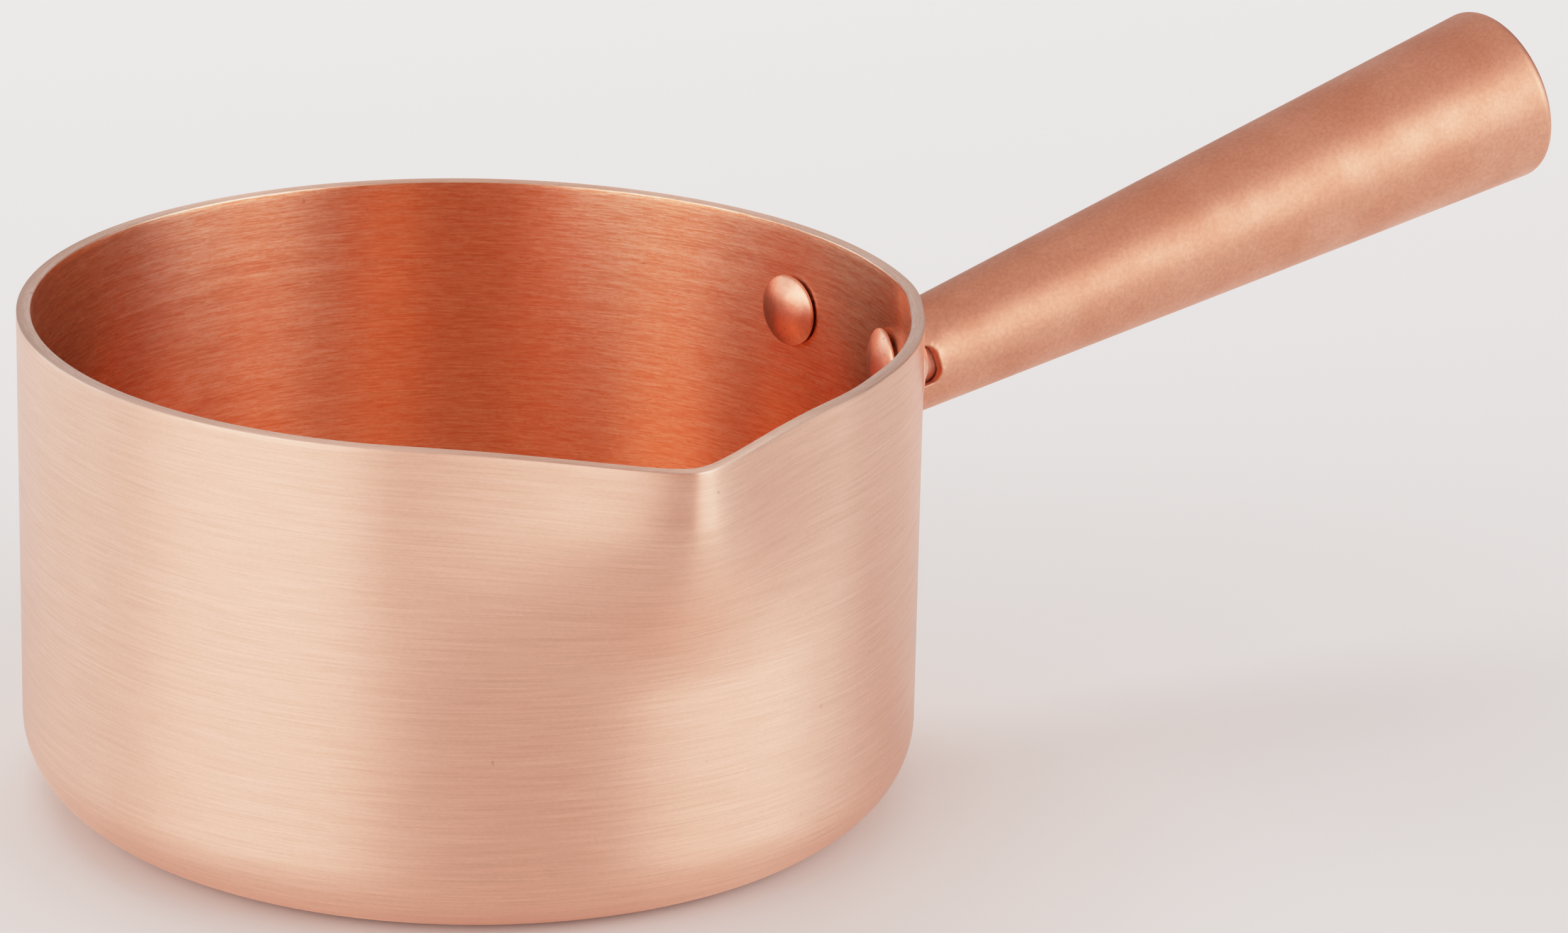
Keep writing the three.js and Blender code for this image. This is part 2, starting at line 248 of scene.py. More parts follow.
class Nodes:
    """A short way to write a node tree."""

    def __init__(self, owner):
        owner.use_nodes = True
        self.owner = owner
        self.tree = owner.node_tree

    def named(self, name):
        """The inputs of a node that the tree starts with."""
        return self.tree.nodes[name].inputs

    def add(self, kind, inputs=None, **settings):
        node = self.tree.nodes.new(kind)
        for key, value in settings.items():
            setattr(node, key, value)
        for key, value in (inputs or {}).items():
            self.feed(node.inputs[key], value)
        return node

    def feed(self, socket, value):
        if isinstance(value, bpy.types.NodeSocket):
            self.tree.links.new(value, socket)
        else:
            socket.default_value = value

    def math(self, operation, a, b=0.0):
        return self.add("ShaderNodeMath", {0: a, 1: b}, operation=operation).outputs[0]

    def noise(self, vector, scale, detail, roughness):
        inputs = {"Vector": vector, "Scale": scale, "Detail": detail, "Roughness": roughness}
        return self.add("ShaderNodeTexNoise", inputs).outputs["Fac"]

    def fibres(self, vector, pattern):
        """Noise drawn out along the brushing, as a Fibres value says."""
        inputs = {"Vector": vector, "Scale": pattern.fineness, "Rotation": pattern.slant}
        stretched = self.add("ShaderNodeMapping", inputs).outputs["Vector"]
        return self.noise(stretched, 1.0, pattern.detail, pattern.roughness)

    def remap(self, value, span, to_low, to_high):
        """A value that goes over a span, taken to another range."""
        inputs = {0: value, 1: span[0], 2: span[1], 3: to_low, 4: to_high}
        return self.add("ShaderNodeMapRange", inputs).outputs[0]

    def mix(self, factor, a, b, blend="MIX"):
        node = self.add("ShaderNodeMix", data_type="RGBA", blend_type=blend)
        self.feed(node.inputs["Factor"], factor)
        self.feed(node.inputs["A"], a)
        self.feed(node.inputs["B"], b)
        return node.outputs["Result"]

    def shade(self, value, span, tones):
        """From the first tone to the second, as a value goes over a span."""
        return self.mix(self.remap(value, span, 0.0, 1.0), *tones)

    def bump(self, height, strength, distance):
        inputs = {"Height": height, "Strength": strength, "Distance": distance}
        return self.add("ShaderNodeBump", inputs).outputs[0]


class Fibres(NamedTuple):
    """A brushed pattern: how fine it is along X, along Y and across the brushing (per
    metre), how it slants (radians round X, Y and Z), and its noise's detail."""

    fineness: tuple
    slant: tuple
    detail: float
    roughness: float


def rgb(red, green, blue):
    return (red, green, blue, 1.0)


FLAT_FROM = 0.7  # a face whose normal points up or down this much is flat, not a wall
ZERO_TO_ONE = (0.0, 1.0)

HAIRLINES = Fibres((75, 75, 3100), (0.02, 0.015, 0), detail=3.0, roughness=0.6)
STROKES = Fibres((260, 260, 3600), (-0.03, 0.02, 0), detail=3.0, roughness=0.75)
GRAIN = Fibres((1500, 1500, 3800), (0, 0, 0), detail=1.0, roughness=0.5)
STREAKS = Fibres((22, 22, 700), (0, 0, 0), detail=2.0, roughness=0.5)
NOISE_MIDDLE = 0.5
STROKE_SPAN = (0.34, 0.66)
STROKE_DEPTHS = (-0.5, 0.55)
OUTER_GRAIN = 0.35
INNER_GRAIN = 0.9

# The two tones of each surface: in the grooves of the brushing, and on its ridges.
OUTER_TONES = (rgb(0.845, 0.485, 0.355), rgb(1.0, 0.588, 0.448))
# Inside, painted shade: the tones are deeper red, standing in for the dimmer light bounced many times
# round the pan's hollow, over the real stronger brushing there.
INNER_SHADED_TONES = (rgb(0.84, 0.355, 0.19), rgb(1.0, 0.65, 0.46))
# On the rim, a painted highlight: paler tones for the brighter light that its upturned flat top
# catches.
RIM_HIGHLIGHT_TONES = (rgb(0.87, 0.59, 0.47), rgb(0.97, 0.71, 0.60))
OUTER_RELIEF = (-0.2, 0.2)
INNER_RELIEF = (-0.5, 0.6)
RIM_FADE = (PAN_HEIGHT - 0.22 * MM, PAN_HEIGHT - 0.08 * MM)

CLOUD_FINENESS = 45.0
CLOUD_SPAN = (0.35, 0.65)
CLOUD_TINT = rgb(1.0, 0.97, 0.93)
CLOUD_STRENGTH = 0.5
PIT_FINENESS = 420.0
PIT_SPAN = (0.80, 0.84)  # only the noise's few highest spots
PIT_DARKNESS = 0.35
PIT_TONE = rgb(0.25, 0.12, 0.08)

STREAK_SPAN = (0.3, 0.7)
OUTER_ROUGHNESS = (0.36, 0.40)
INNER_SMOOTHER = 0.11
RIM_ROUGHER = 0.1
BRUSHED = 0.9  # how anisotropic the reflection is
QUARTER_TURN = 0.25  # the brushing runs round the pan, so highlights stand upright
OUTER_BUMP = 0.18
INNER_BUMP = 0.06
BUMP_HEIGHT = 0.12 * MM

SATIN_CLOUD_FINENESS = 90.0
SATIN_GRAIN_FINENESS = 1500.0
SATIN_GRAIN_SPAN = (0.25, 0.75)
SATIN_GRAIN_TONES = (0.88, 1.12)
SATIN_PIT_FINENESS = 1100.0
SATIN_PIT_SPAN = (0.72, 0.78)
SATIN_PIT_TONE = rgb(0.20, 0.08, 0.05)
SATIN_SMOOTHER = 0.04  # the roughness goes this far below what is stated
SATIN_ROUGHER = 0.05  # and this far above it
SATIN_BUMP = 0.15
SATIN_BUMP_HEIGHT = 0.1 * MM


def across_brushing(n, place):
    """A vector whose third part runs across the brushing: up a wall, outwards on a flat."""
    part = n.add("ShaderNodeSeparateXYZ", {0: place}).outputs
    normal = n.add("ShaderNodeNewGeometry").outputs["Normal"]
    facing_up = n.math("ABSOLUTE", n.add("ShaderNodeSeparateXYZ", {0: normal}).outputs["Z"])
    flat = n.math("GREATER_THAN", facing_up, FLAT_FROM)
    level = n.add("ShaderNodeCombineXYZ", {0: part["X"], 1: part["Y"]}).outputs[0]
    out = n.add("ShaderNodeVectorMath", {0: level}, operation="LENGTH").outputs["Value"]
    across = n.add("ShaderNodeMix", {0: flat, 2: part["Z"], 3: out}, data_type="FLOAT").outputs[0]
    return n.add("ShaderNodeCombineXYZ", {0: part["X"], 1: part["Y"], 2: across}).outputs[0]


def brushed_relief(n, brushing, inside):
    """The height of the brushing, about -0.5 to 0.5: hairlines and a little grain outside,
    and coarser strokes with more grain inside."""
    line_height = n.math("SUBTRACT", n.fibres(brushing, HAIRLINES), NOISE_MIDDLE)
    strokes = n.fibres(brushing, STROKES)
    grain = n.math("SUBTRACT", n.fibres(brushing, GRAIN), NOISE_MIDDLE)
    speck = n.math("MULTIPLY", grain, n.remap(inside, ZERO_TO_ONE, OUTER_GRAIN, INNER_GRAIN))
    stroke = n.math("MULTIPLY", n.remap(strokes, STROKE_SPAN, *STROKE_DEPTHS), inside)
    return n.math("ADD", n.math("ADD", line_height, speck), stroke)


def brushed_colour(n, place, relief, inside, rim):
    """Copper painted deeper red inside as painted shade for the light bounced round the hollow,
    lighter outside, and palest on the rim as a painted highlight, clouded and finely pitted.
    """
    outer = n.shade(relief, OUTER_RELIEF, OUTER_TONES)
    inner = n.shade(relief, INNER_RELIEF, INNER_SHADED_TONES)
    edge = n.shade(relief, OUTER_RELIEF, RIM_HIGHLIGHT_TONES)
    # the inside takes the painted-shade tones, and the rim the painted-highlight tones
    colour = n.mix(rim, n.mix(inside, outer, inner), edge)
    cloud = n.noise(place, CLOUD_FINENESS, detail=3.0, roughness=0.6)
    pits = n.noise(place, PIT_FINENESS, detail=1.0, roughness=0.5)
    tinted = n.mix(1.0, colour, CLOUD_TINT, "MULTIPLY")
    colour = n.mix(n.remap(cloud, CLOUD_SPAN, 0.0, CLOUD_STRENGTH), colour, tinted)
    return n.mix(n.remap(pits, PIT_SPAN, 0.0, PIT_DARKNESS), colour, PIT_TONE)


def brushed_copper():
    """Brushed round the pan: fine outside, coarser inside and painted deeper red there as painted
    shade, paler on the rim as a painted highlight.
    """
    n = Nodes(bpy.data.materials.new("brushed_copper"))
    shader = n.named("Principled BSDF")
    place = n.add("ShaderNodeTexCoord").outputs["Object"]
    height = n.add("ShaderNodeSeparateXYZ", {0: place}).outputs["Z"]
    # the rim's top: rougher there, and given paler tones as a painted highlight
    rim = n.remap(height, RIM_FADE, 0.0, 1.0)
    inside = n.add("ShaderNodeAttribute", attribute_name="inside").outputs["Fac"]
    brushing = across_brushing(n, place)
    relief = brushed_relief(n, brushing, inside)
    n.feed(shader["Base Color"], brushed_colour(n, place, relief, inside, rim))
    n.feed(shader["Metallic"], 1.0)
    roughness = n.remap(n.fibres(brushing, STREAKS), STREAK_SPAN, *OUTER_ROUGHNESS)
    roughness = n.math("SUBTRACT", roughness, n.math("MULTIPLY", inside, INNER_SMOOTHER))
    roughness = n.math("ADD", roughness, n.math("MULTIPLY", rim, RIM_ROUGHER))
    n.feed(shader["Roughness"], roughness)
    n.feed(shader["Anisotropic"], BRUSHED)
    n.feed(shader["Anisotropic Rotation"], QUARTER_TURN)
    tangent = n.add("ShaderNodeTangent", direction_type="RADIAL", axis="Z").outputs[0]
    n.feed(shader["Tangent"], tangent)
    strength = n.remap(inside, ZERO_TO_ONE, OUTER_BUMP, INNER_BUMP)
    n.feed(shader["Normal"], n.bump(relief, strength, BUMP_HEIGHT))
    return n.owner


def satin_copper(name, tones, roughness, pitted=0.0):
    """Plain satin copper, softly mottled and finely grained, for the handle, bracket and rivets."""
    n = Nodes(bpy.data.materials.new(name))
    shader = n.named("Principled BSDF")
    place = n.add("ShaderNodeTexCoord").outputs["Object"]
    cloud = n.noise(place, SATIN_CLOUD_FINENESS, detail=4.0, roughness=0.6)
    grain = n.noise(place, SATIN_GRAIN_FINENESS, detail=2.0, roughness=0.7)
    pits = n.noise(place, SATIN_PIT_FINENESS, detail=1.0, roughness=0.5)
    satin = n.shade(cloud, CLOUD_SPAN, tones)
    grained = n.remap(grain, SATIN_GRAIN_SPAN, *SATIN_GRAIN_TONES)
    satin = n.mix(1.0, satin, grained, "MULTIPLY")
    satin = n.mix(n.remap(pits, SATIN_PIT_SPAN, 0.0, pitted), satin, SATIN_PIT_TONE)
    n.feed(shader["Base Color"], satin)
    n.feed(shader["Metallic"], 1.0)
    spread = (roughness - SATIN_SMOOTHER, roughness + SATIN_ROUGHER)
    n.feed(shader["Roughness"], n.remap(cloud, STREAK_SPAN, *spread))
    n.feed(shader["Normal"], n.bump(grain, SATIN_BUMP, SATIN_BUMP_HEIGHT))
    return n.owner


HANDLE_TONES = (rgb(0.77, 0.37, 0.25), rgb(0.69, 0.31, 0.20))
BRACKET_TONES = (rgb(0.84, 0.43, 0.31), rgb(0.80, 0.39, 0.28))
RIVET_TONES = (rgb(0.92, 0.43, 0.30), rgb(0.88, 0.39, 0.27))

PAN_COPPER = brushed_copper()
HANDLE_COPPER = satin_copper("handle_copper", HANDLE_TONES, roughness=0.44)
BRACKET_COPPER = satin_copper("bracket_copper", BRACKET_TONES, roughness=0.5)
RIVET_COPPER = satin_copper("rivet_copper", RIVET_TONES, roughness=0.36, pitted=0.6)

# ---- Pan body ----

PAN_COLUMNS = 480
LIP_CROWDING = 0.7  # how much closer together the columns stand by the pouring lip
BASE_ROWS = 12
OUTER_CORNER_ROWS = 24
INNER_CORNER_ROWS = 20
WALL_ROWS = 60
RIM_ROWS = 4


def turn_between(angle, other):
    return abs(math.atan2(math.sin(angle - other), math.cos(angle - other)))


def spout_reach(angle, depth):
    """How far the pouring lip pushes the wall out, by angle and depth below the rim."""
    soft = SPOUT_TIP_SOFTNESS * (1 + depth / SPOUT_SOFTENING_DEPTH)
    away = math.hypot(turn_between(angle, SPOUT_ANGLE), soft) - soft
    edge = math.hypot(SPOUT_HALF_WIDTH, soft) - soft
    across = max(0.0, 1 - away / edge) ** SPOUT_SHARPNESS
    return SPOUT_REACH * across * (1 - smoothstep(depth, SPOUT_FULL_DEPTH, SPOUT_END_DEPTH))


def draw_in(angle, depth):
    """How far pressing the lip drew the wall in beside it."""
    turn = turn_between(angle, DRAW_ANGLE)
    across = 1 - smoothstep(turn, DRAW_FULL_WIDTH, DRAW_END_WIDTH)
    return DRAW_IN * across * max(0.0, 1 - depth / DRAW_END_DEPTH)


def pan_angles():
    """Round the pan, closer together at the pouring lip."""
    angles = []
    for i in range(PAN_COLUMNS):
        u = 2 * math.pi * i / PAN_COLUMNS - math.pi
        angles.append(SPOUT_ANGLE + u - LIP_CROWDING * math.sin(u))
    return angles


def outer_profile():
    """From the middle of the base, out and up to the outer edge of the rim."""
    base = PAN_RADIUS - CORNER_RADIUS
    top = PAN_HEIGHT - RIM_ROUND
    points = [(0, 0)]
    points += line((0, 0), (base, 0), BASE_ROWS)[:-1]
    points += arc(base, CORNER_RADIUS, CORNER_RADIUS, -90, 0, OUTER_CORNER_ROWS)
    points += line((PAN_RADIUS, CORNER_RADIUS), (PAN_RADIUS, top), WALL_ROWS)[:-1]
    points += arc(PAN_RADIUS - RIM_ROUND, top, RIM_ROUND, 0, 90, RIM_ROWS)
    return points


def inner_profile():
    """From the inner edge of the rim, down and in to the middle of the floor."""
    corner = CORNER_RADIUS - WALL
    floor_edge = INNER_RADIUS - corner
    corner_top = WALL + corner
    top = PAN_HEIGHT - RIM_ROUND
    points = arc(INNER_RADIUS + RIM_ROUND, top, RIM_ROUND, 90, 180, RIM_ROWS)
    points += line((INNER_RADIUS, top), (INNER_RADIUS, corner_top), WALL_ROWS)[:-1]
    points += arc(floor_edge, corner_top, corner, 0, -90, INNER_CORNER_ROWS)
    points += line((floor_edge, WALL), (0, WALL), BASE_ROWS)[:-1]
    points += [(0, WALL)]
    return points


def pressed(radius, along, angle):
    """Pushes the wall out at the pouring lip and draws it in beside it."""
    if radius < INNER_RADIUS - TINY:
        return radius, along
    depth = PAN_HEIGHT - along
    return radius + spout_reach(angle, depth) - draw_in(angle, depth), along


def pan_body():
    outside = outer_profile()
    mesh = turned(outside + inner_profile(), pan_angles(), pressed, len(outside))
    return finish_piece(mesh, "pan_body_fine", PAN_COPPER)


# ---- Handle ----

HANDLE_PLACE = Matrix.Translation((PAN_RADIUS, 0, HANDLE_ROOT_HEIGHT)) @ Matrix.Rotation(
    math.pi / 2 - HANDLE_TILT, 4, "Y"
)
TUBE_SLOPE = (HANDLE_END_RADIUS - HANDLE_ROOT_RADIUS) / HANDLE_LENGTH
TUBE_COLUMNS = 144
TUBE_CREASE_ANGLE = 50
LEVEL_FROM = 5.0 * MM  # nearer the pan, the rows of vertices follow the saddle cut
SADDLE_ROWS = 5
FINE_ROW = 0.7 * MM  # between the rows by the windows
FINE_UNTIL = 16 * MM
COARSE_ROW = 2.4 * MM
SADDLE_STEPS = 10
LIP_ROWS = 12
LIP_EDGE_ROWS = 8
LIP_INNER_ROWS = 6

WINDOW_MIDDLES = (math.pi / 2 + WINDOW_ANGLE, -(math.pi / 2 + WINDOW_ANGLE))
WINDOW_MARGIN = 2.0 * MM
WINDOW_SADDLE_ROWS = 3  # of the saddle rows, how many a window's patch takes
WINDOW_HALVINGS = 24
RING_REACH = 0.8  # a ring goes no further out than this part of the way to the patch's border
BURR = 0.10 * MM
BURR_FINENESS = 1500
BURR_MIDDLE = 0.6  # the part of the lift that is there on average
BURR_SWING = 0.8  # and how much more or less of it there is from place to place

# Distance from the window's edge and lift off the surface, from the outermost ring inwards.
OUTER_RINGS = (
    (1.6 * MM, 0),
    (0.8 * MM, 0.4 * BURR),
    (0.4 * MM, BURR),
    (0.18 * MM, BURR),
    (0.05 * MM, -0.3 * BURR),
    (0.0, -2.0 * BURR),
)
INNER_RINGS = ((1.0 * MM, 0), (0.0, 0.0))


def tube_radius(along):
    return HANDLE_ROOT_RADIUS + TUBE_SLOPE * along


def on_axis(along, angle, radius):
    """A point in the handle's own frame: +Z along its axis, -X on its upper side."""
    return Vector((radius * math.cos(angle), radius * math.sin(angle), along))


def saddle_start(angle, inset, distance):
    """Where along the axis a surface reaches a distance from the pan's own axis."""
    along = 0.0
    for _ in range(SADDLE_STEPS):
        point = HANDLE_PLACE @ on_axis(along, angle, tube_radius(along) - inset)
        away = math.sqrt(distance ** 2 - point.y ** 2)
        along += (away - point.x) / math.cos(HANDLE_TILT)
    return along


def window_fit(across, along):
    """The scale that puts a point (from the window's centre) on the window's edge."""
    half = (WINDOW_HEIGHT / 2 - WINDOW_CORNER, WINDOW_LENGTH / 2 - WINDOW_CORNER)
    low, high = 0.0, 1.0
    for _ in range(WINDOW_HALVINGS):
        middle = (low + high) / 2
        out = [max(abs(value) * middle - limit, 0.0) for value, limit in zip((across, along), half)]
        if math.hypot(*out) < WINDOW_CORNER:
            low = middle
        else:
            high = middle
    return low


class TubeSheet:
    """One surface of the tube: rows of vertices along it, with two windows left open."""

    def __init__(self, mesh, inset, levels):
        self.mesh = mesh
        self.inset = inset
        self.angles = even_angles(TUBE_COLUMNS)
        self.rows = []
        self.places = []
        for row in range(SADDLE_ROWS):
            part = row / SADDLE_ROWS
            self.add_row(lambda t: self.start(t) * (1 - part) + LEVEL_FROM * part)
        for level in levels:
            self.add_row(lambda t: level)

    def start(self, angle):
        return saddle_start(angle, self.inset, TUBE_START)

    def vertex(self, along, angle, lift=0.0):
        return self.mesh.verts.new(on_axis(along, angle, tube_radius(along) - self.inset + lift))

    def add_row(self, along_at):
        places = [(along_at(angle), angle) for angle in self.angles]
        self.places.append(places)
        self.rows.append([self.vertex(along, angle) for along, angle in places])

    def window_cells(self, middle):
        """Rows and columns of the grid that the window's patch takes."""
        centre = round(middle / (2 * math.pi) * TUBE_COLUMNS)
        reach = WINDOW_HEIGHT / 2 + WINDOW_MARGIN
        side = math.ceil(math.asin(reach / tube_radius(0)) / (2 * math.pi) * TUBE_COLUMNS)
        end = WINDOW_CENTRE + WINDOW_LENGTH / 2 + WINDOW_MARGIN
        last = next(i for i, row in enumerate(self.places) if row[0][0] > end)
        return SADDLE_ROWS - WINDOW_SADDLE_ROWS, last, centre - side, centre + side

    def border(self, cells):
        first, last, left, right = cells
        around = [(first, j) for j in range(left, right)]
        around += [(i, right) for i in range(first, last)]
        around += [(last, j) for j in range(right, left, -1)]
        around += [(i, left) for i in range(last, first, -1)]
        return [(i, j % TUBE_COLUMNS) for i, j in around]

    def window(self, middle, rings):
        """Fills from the grid in to the window's edge, and gives that edge's vertices."""
        around = self.border(self.window_cells(middle))
        outer = [self.rows[i][j] for i, j in around]
        for distance, lift in rings:
            ring = [self.window_vertex(middle, *self.places[i][j], distance, lift) for i, j in around]
            bridge(self.mesh, outer, ring)
            outer = ring
        return outer

    def window_vertex(self, middle, along, angle, distance, lift):
        """A place on the patch's border, brought in to a distance from the window's edge."""
        radius = tube_radius(along) - self.inset
        flat = Vector((radius * math.sin(angle - middle), along - WINDOW_CENTRE))
        edge = flat * window_fit(*flat)
        out = min(distance, (flat - edge).length * RING_REACH)
        spot = edge + (flat - edge).normalized() * out
        spot_along = WINDOW_CENTRE + spot.y
        turn = math.asin(spot.x / (tube_radius(spot_along) - self.inset))
        swing = noise.noise(Vector((spot.x, spot.y, middle * MM)) * BURR_FINENESS)
        return self.vertex(spot_along, middle + turn, lift * (BURR_MIDDLE + BURR_SWING * swing))

    def fill(self, holes):
        """Faces over the whole grid but for its holes."""
        taken = set()
        for first, last, left, right in holes:
            columns = [j % TUBE_COLUMNS for j in range(left, right)]
            taken.update((i, j) for i in range(first, last) for j in columns)
        for i in range(len(self.rows) - 1):
            for j in range(TUBE_COLUMNS):
                if (i, j) not in taken:
                    k = (j + 1) % TUBE_COLUMNS
                    upper = self.rows[i + 1]
                    self.mesh.faces.new((self.rows[i][j], self.rows[i][k], upper[k], upper[j]))


def tube_levels():
    """Where the rows lie: close together by the windows, wider further out."""
    levels = [LEVEL_FROM]
    end = HANDLE_LENGTH - LIP_RADIUS
    while levels[-1] < end:
        levels.append(levels[-1] + (FINE_ROW if levels[-1] < FINE_UNTIL else COARSE_ROW))
    levels[-1] = end
    return levels


def end_profile():
    """The turned-in end of the tube, from its outer surface round to its inner one."""
    bend_at = HANDLE_LENGTH - LIP_RADIUS
    bend_radius = tube_radius(bend_at) - LIP_RADIUS
    edge = TUBE_THICKNESS / 2
    lip = bend_radius - LIP_RETURN + edge / 2
    points = arc(bend_radius, bend_at, LIP_RADIUS, 0, 90, LIP_ROWS)[1:]
    points += arc(lip, HANDLE_LENGTH - edge, edge, 90, 270, LIP_EDGE_ROWS)
    points += arc(bend_radius, bend_at, LIP_RADIUS - TUBE_THICKNESS, 90, 0, LIP_INNER_ROWS)[:-1]
    return points


def handle_tube():
    mesh = bmesh.new()
    levels = tube_levels()
    outside = TubeSheet(mesh, 0.0, levels)
    inside = TubeSheet(mesh, TUBE_THICKNESS, levels)
    for sheet in (outside, inside):
        sheet.fill([sheet.window_cells(middle) for middle in WINDOW_MIDDLES])
    for middle in WINDOW_MIDDLES:
        outer_edge = outside.window(middle, OUTER_RINGS)
        inner_edge = inside.window(middle, INNER_RINGS)
        bridge(mesh, outer_edge, inner_edge)
    before = outside.rows[-1]
    for radius, along in end_profile():
        row = [mesh.verts.new(on_axis(along, angle, radius)) for angle in outside.angles]
        bridge(mesh, before, row)
        before = row
    bridge(mesh, before, inside.rows[-1])
    bridge(mesh, inside.rows[0], outside.rows[0])
    return finish_piece(mesh, "handle_tube_fine", HANDLE_COPPER, HANDLE_PLACE, TUBE_CREASE_ANGLE)


# ---- Bracket ----

PLATE_RINGS = (0.15, 0.3, 0.45, 0.6, 0.75, 0.88)  # parts of the way out to the plate's edge
PLATE_ROUND = 0.5 * MM
PLATE_ROUND_STEPS = 4
PLATE_MIDDLE = 0.6  # a ring on the plate's side, this part of the way down it
LOBE_STEPS = 16
SIDE_STEPS = 8
SPIGOT_COLUMNS = 96
SPIGOT_ROWS = 8
SPIGOT_END_STEPS = 4
SPIGOT_END_START = 20  # degrees, where the rounded end leaves the cone
BORE_ROWS = 6
SPIGOT_ROOT = 2.0 * MM  # the closed root, within the plate
SEAM_MERGE = 0.02 * MM  # slivers this small, where plate and spigot are joined, are closed up
BRACKET_CREASE_ANGLE = 35


def plate_outline():
    """A rounded triangle round the three rivets, as points (across, up)."""
    across = PLATE_OUTER * math.sin(UPPER_RIVET_ANGLE)
    centres = [
        Vector((0, LOWER_RIVET_HEIGHT)),
        Vector((across, FAR_SIDE_RIVET_HEIGHT)),
        Vector((-across, SPOUT_SIDE_RIVET_HEIGHT)),
    ]
    points = []
    for i, centre in enumerate(centres):
        before = centre - centres[i - 1]
        after = centres[(i + 1) % len(centres)] - centre
        start = math.atan2(-before.x, before.y)
        turn = (math.atan2(-after.x, after.y) - start) % (2 * math.pi)
        for step in range(LOBE_STEPS + 1):
            angle = start + turn * step / LOBE_STEPS
            points.append(centre + Vector((math.cos(angle), math.sin(angle))) * LOBE_RADIUS)
        follows = centres[(i + 1) % len(centres)] + (points[-1] - centre)
        points += [points[-1].lerp(follows, k / SIDE_STEPS) for k in range(1, SIDE_STEPS)]
    return points


def plate_section():
    """The plate's rings, from the middle of its outer face over the edge to its inner face:
    part of the way out, distance from the pan's axis, and how far in from the outline."""
    rings = [(part, PLATE_OUTER, PLATE_ROUND) for part in PLATE_RINGS + (1.0,)]
    for step in range(1, PLATE_ROUND_STEPS + 1):
        turn = math.pi / 2 * step / PLATE_ROUND_STEPS
        down = PLATE_ROUND * (1 - math.cos(turn))
        rings.append((1.0, PLATE_OUTER - down, PLATE_ROUND * (1 - math.sin(turn))))
    rings.append((1.0, PLATE_OUTER - (PLATE_OUTER - PLATE_INNER) * PLATE_MIDDLE, 0.0))
    rings.append((1.0, PLATE_INNER, 0.0))
    rings += [(part, PLATE_INNER, 0.0) for part in reversed(PLATE_RINGS)]
    return rings


def round_pan(radius, flat):
    """A point (across, up) laid on a cylinder round the pan's axis."""
    return (math.sqrt(radius ** 2 - flat.x ** 2), flat.x, flat.y)


def bracket_plate():
    """The curved plate with rounded edges."""
    outline = plate_outline()
    middle = sum(outline, Vector((0, 0))) / len(outline)
    mesh = bmesh.new()

    def ring(part, radius, inset):
        row = []
        for point in outline:
            away = point - middle
            flat = middle + away * (part * (1 - inset / away.length))
            row.append(mesh.verts.new(round_pan(radius, flat)))
        return row

    rows = [ring(*values) for values in plate_section()]
    for one, other in zip(rows, rows[1:]):
        bridge(mesh, one, other)
    cap(mesh, rows[0], round_pan(PLATE_OUTER, middle))
    cap(mesh, rows[-1], round_pan(PLATE_INNER, middle))
    return mesh


def spigot_radius(along):
    return tube_radius(along) - TUBE_THICKNESS - GAP


def spigot_profile():
    """From the root's cone out to the rounded end, and back down the bore to its floor."""
    end_radius = spigot_radius(SPIGOT_LENGTH)
    soft = SPIGOT_CHAMFER
    cone_end = (end_radius, SPIGOT_LENGTH - soft)
    bore_end = (end_radius - SPIGOT_THICKNESS, SPIGOT_LENGTH)
    bore_floor = (spigot_radius(SPIGOT_FLOOR) - SPIGOT_THICKNESS, SPIGOT_FLOOR)
    points = line((spigot_radius(LEVEL_FROM), LEVEL_FROM), cone_end, SPIGOT_ROWS)
    points += arc(end_radius - soft, cone_end[1], soft, SPIGOT_END_START, 90, SPIGOT_END_STEPS)
    points += [bore_end]
    points += line(bore_end, bore_floor, BORE_ROWS)
    return points


def bracket_spigot():
    """The hollow stub inside the tube, from within the plate out to its open end."""
    inset = TUBE_THICKNESS + GAP
    root = (PLATE_INNER + PLATE_OUTER) / 2
    angles = even_angles(SPIGOT_COLUMNS)
    mesh = bmesh.new()
    first = []
    for angle in angles:
        along = saddle_start(angle, inset, root)
        first.append(mesh.verts.new(on_axis(along, angle, spigot_radius(along))))
    before = first
    for radius, along in spigot_profile():
        row = [mesh.verts.new(on_axis(along, angle, radius)) for angle in angles]
        bridge(mesh, before, row)
        before = row
    cap(mesh, before, (0, 0, SPIGOT_FLOOR))
    cap(mesh, first, (0, 0, SPIGOT_ROOT))
    return mesh


def handle_bracket():
    """Plate and spigot joined into one solid."""
    plate = finish_piece(bracket_plate(), "plate", BRACKET_COPPER)
    spigot = finish_piece(bracket_spigot(), "spigot", BRACKET_COPPER, HANDLE_PLACE)
    union = plate.modifiers.new("spigot", "BOOLEAN")
    union.operation = "UNION"
    union.object = spigot
    evaluated = plate.evaluated_get(bpy.context.evaluated_depsgraph_get())
    mesh = bmesh.new()
    mesh.from_mesh(evaluated.to_mesh())
    bmesh.ops.remove_doubles(mesh, verts=mesh.verts, dist=SEAM_MERGE)
    bmesh.ops.dissolve_degenerate(mesh, dist=SEAM_MERGE, edges=mesh.edges)
    mid_edge = [vertex for vertex in mesh.verts if len(vertex.link_edges) == 2]
    bmesh.ops.dissolve_verts(mesh, verts=mid_edge)
    for piece in (plate, spigot):
        bpy.data.objects.remove(piece)
    return finish_piece(mesh, "handle_bracket_fine", BRACKET_COPPER, None, BRACKET_CREASE_ANGLE)


# ---- Rivets ----

